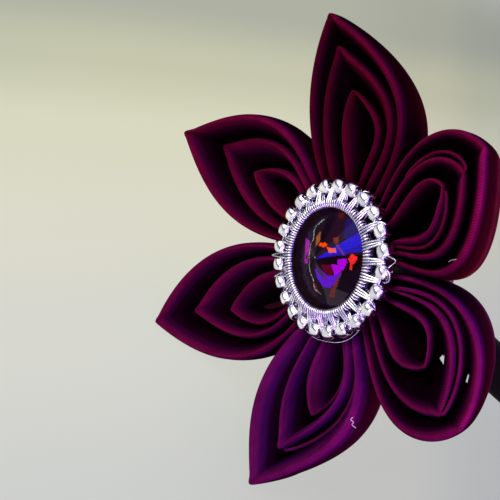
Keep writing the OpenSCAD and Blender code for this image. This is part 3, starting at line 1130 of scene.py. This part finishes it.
def beadOutline():
    sizes = beadSizes
    half, shoulder = sizes["length"] / 2, sizes["shoulderR"]
    outline = [(sizes["hole"] / 2, half * sizes["holeHalf"]), (sizes["hole"] / 2, -half * sizes["holeHalf"])]
    for i in range(sizes["steps"] + 1):
        a = -math.pi / 2 + math.pi * i / sizes["steps"]
        bulge = abs(math.cos(a)) ** sizes["round"]
        outline.append((shoulder + (sizes["width"] / 2 - shoulder) * bulge, half * math.sin(a)))
    return outline


def beadPlace(k):
    sizes = beadSizes
    rng = random.Random(100 + k)
    angle = wireSizes["beadTurn"] - k * 360 / lean["beads"]
    proud = sizes["proud"] * max(math.cos(math.radians(angle - sizes["proudTurn"])), 0)
    return (
        Matrix.Rotation(math.radians(angle), 4, "Z")
        @ Matrix.Translation((wireSizes["beadCircleR"] + proud, 0, lean["beadHeight"]))
        @ Matrix.Rotation(math.radians(rng.uniform(-sizes["tilt"], sizes["tilt"])), 4, "X")
        @ Matrix.Rotation(math.radians(rng.uniform(-sizes["tilt"], sizes["tilt"])), 4, "Z")
        @ Matrix.Rotation(math.radians(90), 4, "X")
        @ Matrix.Rotation(rng.uniform(0, 6.28), 4, "Z")
        @ Matrix.Scale(rng.uniform(sizes["least"], 1.0), 4)
    )


def addBeads():
    for k in range(lean["beads"]):
        place = flowerToWorld @ beadPlace(k)
        bead = lathe(f"silverBead_{k + 1:02d}", beadOutline(), 32, beadSilver, place=place)
        dress(bead, f"bead_{k + 1:02d}")


addBeads()
print("beads made")

# Crystal: sixteen facets in front and a foiled cone behind, with painted patches of colour for the
# reflections that the foil throws up
crystalSizes = {
    "facets": 16,
    "turn": 4,
    "tableR": 0.12,
    "girdleR": 8.9,
    "rise": 2.6,
    "girdleTop": -1.2,
    "girdleThick": 0.2,
    "backDepth": 2.9,
    "rows": 46,
    "columns": 12,
}
stoneBody = {"colour": (0.008, 0.002, 0.009), "least": 0.75, "spread": 0.5}  # tone, and its shares by facet
# Each patch is a painted reflection, a colour and its corners as (angle, radius); later ones lie over earlier
# ones
paintedStoneReflections = {
    "bottom": {
        "colour": (0.028, 0.018, 0.028),
        "corners": [(300, 0.6), (309, 2.5), (316, 7.4), (334, 7.8), (354, 7.2), (340, 5.0)],
    },
    "upper": {
        "colour": (0.016, 0.002, 0.012),
        "corners": [(330, 0.3), (118, 2.5), (124, 8.2), (100, 8.2), (80, 5.0)],
    },
    "navy": {
        "colour": (0.012, 0.004, 0.10),
        "corners": [(84, 5.0), (104, 7.2), (92, 8.2), (77, 8.2), (75, 5.5)],
    },
    "wedge": {
        "colour": (0.018, 0.006, 0.52),
        "corners": [(330, 0.3), (75, 3.2), (77, 8.2), (53, 8.2), (51, 4.4)],
    },
    "wedgeFoot": {
        "colour": (0.012, 0.004, 0.33),
        "corners": [(330, 0.3), (58, 4.2), (62, 8.2), (53, 8.2), (51, 4.4)],
    },
    "shadow": {
        "colour": (0.006, 0.001, 0.003),
        "corners": [(330, 0.3), (51, 4.4), (53, 8.2), (40, 8.2), (20, 5.6), (4, 2.6)],
    },
    "crossing": {
        "colour": (0.12, 0.02, 0.25),
        "corners": [(82, 3.5), (76, 3.9), (50, 4.7), (48, 4.4)],
    },
    "rustRedReflection": {
        "colour": (0.16, 0.02, 0.015),
        "corners": [(99, 3.8), (91, 4.5), (79, 4.0), (84, 3.5)],
    },
    "ember": {
        "colour": (0.30, 0.07, 0.02),
        "corners": [(146, 4.4), (160, 3.7), (159, 1.9), (137, 2.6)],
    },
    "flame": {
        "colour": (0.85, 0.06, 0.0),
        "corners": [(136, 2.3), (110, 2.6), (93, 2.5), (101, 1.9), (136, 1.9)],
    },
    "flameTail": {
        "colour": (0.90, 0.09, 0.02),
        "corners": [(94, 2.2), (75, 2.9), (60, 3.1), (62, 2.3)],
    },
    "sunset": {
        "colour": (0.75, 0.10, 0.12),
        "corners": [(80, 2.5), (72, 3.3), (58, 3.4), (60, 2.9)],
    },
    "dusk": {
        "colour": (0.10, 0.0, 0.015),
        "corners": [(352, 1.4), (20, 2.7), (14, 3.6), (346, 3.5), (342, 2.0)],
    },
    "violet": {
        "colour": (0.10, 0.008, 0.50),
        "corners": [(290, 1.9), (332, 2.0), (345, 3.3), (2, 3.9), (20, 4.6), (354, 4.7), (330, 4.9),
                    (314, 4.4), (300, 3.2)],
    },
    "greyEdge": {
        "colour": (0.05, 0.025, 0.06),
        "corners": [(300, 1.0), (335, 2.6), (338, 3.6), (322, 3.0), (305, 2.2)],
    },
    "magenta": {
        "colour": (0.36, 0.002, 0.62),
        "corners": [(22, 2.7), (28, 3.7), (41, 3.5), (43, 4.8), (36, 5.0), (20, 4.6), (2, 3.9)],
    },
    "streak": {
        "colour": (0.13, 0.02, 0.02),
        "corners": [(20, 4.7), (2, 4.8), (330, 6.4), (322, 6.0), (340, 4.9)],
    },
    "spark": {
        "colour": (0.80, 0.02, 0.02),
        "corners": [(44, 5.1), (51, 5.7), (46, 6.4), (40, 6.3), (36, 5.9), (26, 6.0), (27, 5.5), (34, 5.5)],
    },
    "leftPink": {
        "colour": (0.30, 0.004, 0.28),
        "corners": [(192, 6.2), (185, 4.4), (204, 2.6), (240, 3.2), (236, 4.3), (206, 4.7)],
    },
    "leftShade": {
        "colour": (0.02, 0.004, 0.010),
        "corners": [(206, 3.4), (215, 3.0), (232, 3.6), (222, 4.0)],
    },
    "redFleckLow": {
        "colour": (0.10, 0.004, 0.004),
        "corners": [(283, 4.6), (296, 4.4), (300, 5.6), (288, 5.8)],
    },
    "redFleckHigh": {
        "colour": (0.07, 0.005, 0.003),
        "corners": [(118, 6.6), (122, 7.4), (112, 7.6), (110, 6.8)],
    },
}
# A painted reflection: the pale line where the coil shows inside the stone, as (angle, radius), with its
# width
paintedCoilReflection = {
    "colour": (0.42, 0.46, 0.42),
    "width": 0.13,
    "points": [(146, 6.3), (160, 5.9), (167, 5.4), (171, 3.8), (184, 3.4), (198, 2.7), (212, 2.5), (231, 2.2),
               (250, 2.7), (264, 3.2), (285, 3.9), (290, 5.3), (306, 5.8)],
}
# Painted shade: the dark stretch by the girdle, between two angles
paintedStoneShade = {"inner": 6.5, "from": 150, "to": 300, "colour": (0.009, 0.003, 0.006)}
stoneBack = (0.05, 0.05, 0.06)
stoneTable = (0.3, 0.32, 0.3)


def insidePolygon(x, y, corners):
    inside = False
    for (ax, ay), (bx, by) in zip(corners, corners[1:] + corners[:1]):
        if (ay > y) != (by > y) and x < (bx - ax) * (y - ay) / (by - ay) + ax:
            inside = not inside
    return inside


def lineDistance(x, y, points):
    best = 99.0
    for (ax, ay), (bx, by) in zip(points, points[1:]):
        dx, dy = bx - ax, by - ay
        t = min(max(((x - ax) * dx + (y - ay) * dy) / (dx * dx + dy * dy), 0), 1)
        best = min(best, math.hypot(x - ax - t * dx, y - ay - t * dy))
    return best


def stoneColour(x, y, rng, flat):
    radius, angle = math.hypot(x, y), math.degrees(math.atan2(y, x)) % 360
    facet = int((angle - crystalSizes["turn"]) % 360 / (360 / crystalSizes["facets"]))
    tone = stoneBody["least"] + stoneBody["spread"] * ((facet * 7) % 5) / 4
    colour = [value * tone for value in stoneBody["colour"]]
    # Painted shade by the girdle
    if paintedStoneShade["from"] < angle < paintedStoneShade["to"] and radius > paintedStoneShade["inner"]:
        colour = list(paintedStoneShade["colour"])
    # Painted reflections lie over the body's tone
    for patch in flat["patches"]:
        if insidePolygon(x, y, patch["corners"]):
            colour = list(patch["colour"])
    # The painted reflection of the coil
    near = lineDistance(x, y, flat["line"])
    if near < paintedCoilReflection["width"] * rng.uniform(0.2, 1.0):
        shine = rng.uniform(0.25, 1.1)
        colour = [value * shine for value in paintedCoilReflection["colour"]]
    flicker = rng.uniform(0.8, 1.2)
    return [value * flicker for value in colour]


def addCrystal():
    sizes = crystalSizes
    rng = random.Random(16)
    flat = {
        "patches": [
            {"colour": patch["colour"], "corners": [tuple(polar(a, r, 0))[:2] for a, r in patch["corners"]]}
            for patch in paintedStoneReflections.values()
        ],
        "line": [tuple(polar(a, r, 0))[:2] for a, r in paintedCoilReflection["points"]],
    }
    facets, rows, columns = sizes["facets"], sizes["rows"], sizes["columns"]
    around = facets * columns
    backTop = sizes["girdleTop"] - sizes["girdleThick"]

    def onFacet(k, radius, height):
        facet, part = divmod(k % around, columns)
        a = polar(sizes["turn"] + facet * 360 / facets, radius, height)
        b = polar(sizes["turn"] + (facet + 1) * 360 / facets, radius, height)
        return a.lerp(b, part / columns)

    points, faces, colours = [], [], []
    for i in range(rows):
        share = i / (rows - 1)
        radius = sizes["tableR"] + (sizes["girdleR"] - sizes["tableR"]) * share
        height = sizes["rise"] + (sizes["girdleTop"] - sizes["rise"]) * share
        points += [onFacet(k, radius, height) for k in range(around)]
    for radius, height in ((sizes["girdleR"], backTop), (sizes["tableR"], backTop - sizes["backDepth"])):
        points += [onFacet(k, radius, height) for k in range(around)]
    total = rows + 2
    for i in range(total - 1):
        for k in range(around):
            a, b = i * around + k, i * around + (k + 1) % around
            faces.append((a, a + around, b + around, b))
            middle = (points[a] + points[b] + points[a + around]) / 3
            front = i < rows - 1
            colours.append(stoneColour(middle.x, middle.y, rng, flat) if front else stoneBack)
    faces.append(tuple(range(around)))
    colours.append(stoneTable)
    faces.append(tuple((total - 1) * around + around - 1 - k for k in range(around)))
    colours.append(stoneBack)
    stone = addMesh("cutCrystal", points, faces, foiledCrystal, smooth=False)
    layer = stone.data.attributes.new("patch", "FLOAT_COLOR", "CORNER")
    for face, colour in zip(stone.data.polygons, colours):
        for corner in face.loop_indices:
            layer.data[corner].color = (*colour, 1)
    dress(stone, "crystal")


addCrystal()
print("crystal made")

# Band: satin drawn tight over a flat hoop with round edges, its lap on the inner face
bandSizes = {
    "topR": 64.0,
    "armR": 120.0,
    "armLength": 62.0,
    "width": 7.5,
    "thickness": 3.0,
    "flowerSide": 60,
    "seat": -16.3,
    "stations": 240,
    "corners": 36,
    "squareness": 3.2,
    "endShares": [0.01, 0.06, 0.15, 0.3, 0.5, 0.75, 1.0],  # stations over a round end
    "lapRise": 0.12,
    "lapFrom": -0.35,  # where the lap begins on the inner face, as a share of the half width
}


def bandPlace(length):
    sizes = bandSizes
    halfTop = math.pi * sizes["topR"] / 2
    side = -1 if length < 0 else 1
    onTop = math.degrees(min(abs(length), halfTop) / sizes["topR"])
    onArm = math.degrees(max(abs(length) - halfTop, 0) / sizes["armR"])
    joint = math.radians(90 - sizes["flowerSide"] + side * onTop)
    turn = joint + math.radians(side * onArm)
    radius = sizes["armR"] if onArm > 0 else sizes["topR"]
    hub = sizes["topR"] - sizes["armR"] if onArm > 0 else 0
    alongX = hub * math.cos(joint) + radius * math.cos(turn)
    outZ = hub * math.sin(joint) + radius * math.sin(turn)
    return turn, alongX, outZ


def addBand():
    sizes = bandSizes
    reach = math.pi * sizes["topR"] / 2 + sizes["armLength"]
    half, thick = sizes["width"] / 2, sizes["thickness"]
    ends = [reach - share * half for share in sizes["endShares"]]
    lengths = [-end for end in ends]
    lengths += [(2 * i / sizes["stations"] - 1) * (reach - half) for i in range(1, sizes["stations"])]
    lengths += reversed(ends)
    power = 2 / sizes["squareness"]
    points, uvs = [], []
    for length in lengths:
        turn, alongX, outZ = bandPlace(length)
        left = (reach - abs(length)) / half
        share = 1 if left >= 1 else math.sqrt(max(1 - (1 - left) ** 2, 0))
        for j in range(sizes["corners"]):
            a = 2 * math.pi * j / sizes["corners"]
            across = math.copysign(abs(math.sin(a)) ** power, math.sin(a))
            deep = (math.copysign(abs(math.cos(a)) ** power, math.cos(a)) - 1) / 2 * thick
            if math.cos(a) < -0.9 and sizes["lapFrom"] < across < 0:
                deep -= sizes["lapRise"]
            x, z = alongX + deep * math.cos(turn), outZ + deep * math.sin(turn)
            points.append((x, across * half * share, sizes["seat"] - sizes["topR"] + z))
            uvs.append((length, j * 2 * (sizes["width"] + thick) / sizes["corners"]))
    wide = sizes["corners"]
    faces = ringFaces(len(lengths), wide)
    faces.append(tuple(range(wide - 1, -1, -1)))
    faces.append(tuple((len(lengths) - 1) * wide + j for j in range(wide)))
    band = addMesh("satinBand", points, faces, blackSatin, uvs)
    dress(band, "band")
    low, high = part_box("band")
    print("band", [round(x, 4) for x in low], [round(x, 4) for x in high])


addBand()

# Pad: a round of felt between the petals and the band
padSizes = {
    "radius": 13.0,
    "top": -14.9,
    "thickness": 1.2,
    "edge": 0.35,
    "edgeSteps": 6,
    "rings": (9.0, 5.0, 0.02),
}


def addPad():
    sizes = padSizes
    top, low, r, e = sizes["top"], sizes["top"] - sizes["thickness"], sizes["radius"], sizes["edge"]
    turns = [math.pi / 2 * i / sizes["edgeSteps"] for i in range(sizes["edgeSteps"] + 1)]
    outline = [(sizes["rings"][-1], low)]
    outline += [(r - e + e * math.cos(a), low + e - e * math.sin(a)) for a in reversed(turns)]
    outline += [(r - e + e * math.cos(a), top - e + e * math.sin(a)) for a in turns]
    outline += [(ring, top) for ring in sizes["rings"]]
    pad = lathe("feltPad", outline, 96, darkFelt)
    dress(pad, "pad")


addPad()
print("band and pad made")

# Stage: a plain pale floor that is bright by itself, and a soft studio
stageSizes = {
    "floorHalf": 1.6,
    "skyTones": [
        (-1.0, (0.30, 0.30, 0.34)),
        (0.00, (0.30, 0.30, 0.40)),
        (0.06, (0.10, 0.09, 0.18)),
        (0.20, (0.14, 0.12, 0.34)),
        (0.34, (0.85, 0.85, 1.10)),
        (0.80, (0.80, 0.80, 0.95)),
        (1.00, (0.50, 0.50, 0.60)),
    ],
    # shares of the glow that reflections see, and that the object is lit by
    "floorGloss": 1.3,
    "floorFill": 0.12,
    "worldGloss": 0.9,
    "worldFill": 0.06,
    # the floor's glow, by metres towards the picture's top and towards its right, and one calm tone far off
    "calmFrom": 0.19,
    "calmTo": 0.34,
    "calmTone": (0.5, 0.52, 0.47),
    "upTurn": 34.4,  # degrees from straight away from the camera to the picture's top, on the floor
    "upTones": [
        (-0.060, (0.516, 0.540, 0.504)),
        (-0.035, (0.563, 0.589, 0.540)),
        (0.000, (0.630, 0.642, 0.567)),
        (0.035, (0.668, 0.666, 0.531)),
        (0.070, (0.649, 0.647, 0.468)),
        (0.107, (0.516, 0.531, 0.360)),
        (0.150, (0.382, 0.405, 0.306)),
    ],
    "rightTones": [
        (-0.180, (0.88, 0.90, 0.94)),
        (-0.110, (0.99, 0.99, 0.99)),
        (-0.070, (0.99, 0.99, 1.00)),
        (-0.022, (0.88, 0.87, 0.89)),
        (-0.004, (0.76, 0.77, 0.82)),
        (0.030, (0.64, 0.66, 0.72)),
    ],
}
lightTable = [
    # name, azimuth, height angle, distance, size, power, colour
    ("keyLight", -18, 44, 0.6, 0.45, 4.0, (1.0, 0.97, 0.95)),
    ("violetLight", 76, 30, 0.5, 0.25, 1.4, (0.3, 0.06, 1.0)),
    ("blueLight", 106, 52, 0.5, 0.4, 1.5, (0.25, 0.1, 1.0)),
    ("frontLight", 52, 8, 0.6, 0.2, 1.4, (0.8, 0.4, 1.0)),
    ("warmLight", 104, 3, 0.35, 0.2, 2.2, (1.0, 0.35, 0.2)),
]


def rayShare(tree, gloss, fill):
    # Full strength for the camera, other shares for reflections and for the light thrown on the object
    ray = tree.nodes.new("ShaderNodeLightPath").outputs
    least = addMath(tree, "MAXIMUM", addMath(tree, "MULTIPLY", ray["Is Glossy Ray"], gloss), fill)
    return addMath(tree, "MAXIMUM", least, ray["Is Camera Ray"])


def floorMaterial():
    sizes = stageSizes
    material, tree, shader = newMaterial("paleFloor")
    place = tree.nodes.new("ShaderNodeTexCoord")

    def along(turn, axis):
        turned = addNode(tree, "ShaderNodeVectorRotate", rotation_type="Z_AXIS")
        turned.inputs["Angle"].default_value = -math.radians(cameraAzimuth() + turn)
        tree.links.new(place.outputs["Object"], turned.inputs["Vector"])
        split = tree.nodes.new("ShaderNodeSeparateXYZ")
        tree.links.new(turned.outputs["Vector"], split.inputs[0])
        return split.outputs[axis]

    far = toneRamp(tree, along(sizes["upTurn"], "Y"), sizes["upTones"])
    right = toneRamp(tree, along(0, "X"), sizes["rightTones"])
    glow = colourMix(tree, 1.0, far, right, "MULTIPLY")
    reach = addNode(tree, "ShaderNodeVectorMath", operation="LENGTH")
    tree.links.new(place.outputs["Object"], reach.inputs[0])
    span = {"From Min": sizes["calmFrom"], "From Max": sizes["calmTo"]}
    calm = addNode(tree, "ShaderNodeMapRange", interpolation_type="SMOOTHSTEP", **span)
    tree.links.new(reach.outputs["Value"], calm.inputs["Value"])
    tone = colourMix(tree, calm.outputs["Result"], glow, sizes["calmTone"])
    tree.links.new(tone, shader.inputs["Emission Color"])
    share = rayShare(tree, sizes["floorGloss"], sizes["floorFill"])
    tree.links.new(share, shader.inputs["Emission Strength"])
    setShader(shader, **{"Base Color": (0.02, 0.02, 0.02), "Roughness": 0.9})
    return material


def cameraAzimuth():
    back = camera.matrix_world.to_3x3() @ Vector((0, 0, 1))
    return math.degrees(math.atan2(back.x, -back.y))


def addFloor():
    half = stageSizes["floorHalf"]
    mesh = bpy.data.meshes.new("floor")
    corners = [(-half, -half, 0), (half, -half, 0), (half, half, 0), (-half, half, 0)]
    mesh.from_pydata(corners, [], [(0, 1, 2, 3)])
    linkMesh("floor", mesh, floorMaterial())


def addWorld():
    world = bpy.data.worlds.new("studio")
    world.use_nodes = True
    tree = world.node_tree
    sky = tree.nodes["Background"]
    split = tree.nodes.new("ShaderNodeSeparateXYZ")
    tree.links.new(tree.nodes.new("ShaderNodeTexCoord").outputs["Generated"], split.inputs[0])
    tree.links.new(toneRamp(tree, split.outputs["Z"], stageSizes["skyTones"]), sky.inputs["Color"])
    share = rayShare(tree, stageSizes["worldGloss"], stageSizes["worldFill"])
    tree.links.new(share, sky.inputs["Strength"])
    bpy.context.scene.world = world


def addLights():
    for name, azimuth, height, distance, size, power, colour in lightTable:
        data = bpy.data.lights.new(name, "AREA")
        data.size = size
        data.energy = power
        data.color = colour
        light = bpy.data.objects.new(name, data)
        bpy.context.scene.collection.objects.link(light)
        a, e = math.radians(azimuth), math.radians(height)
        back = Vector((math.sin(a) * math.cos(e), -math.cos(a) * math.cos(e), math.sin(e)))
        aim = back.to_track_quat("Z", "Y").to_matrix().to_4x4()
        light.matrix_world = Matrix.Translation(flowerMiddle + back * distance) @ aim


addFloor()
addWorld()
addLights()
bpy.context.scene.view_settings.view_transform = "Standard"
print("camera azimuth", round(cameraAzimuth(), 1))
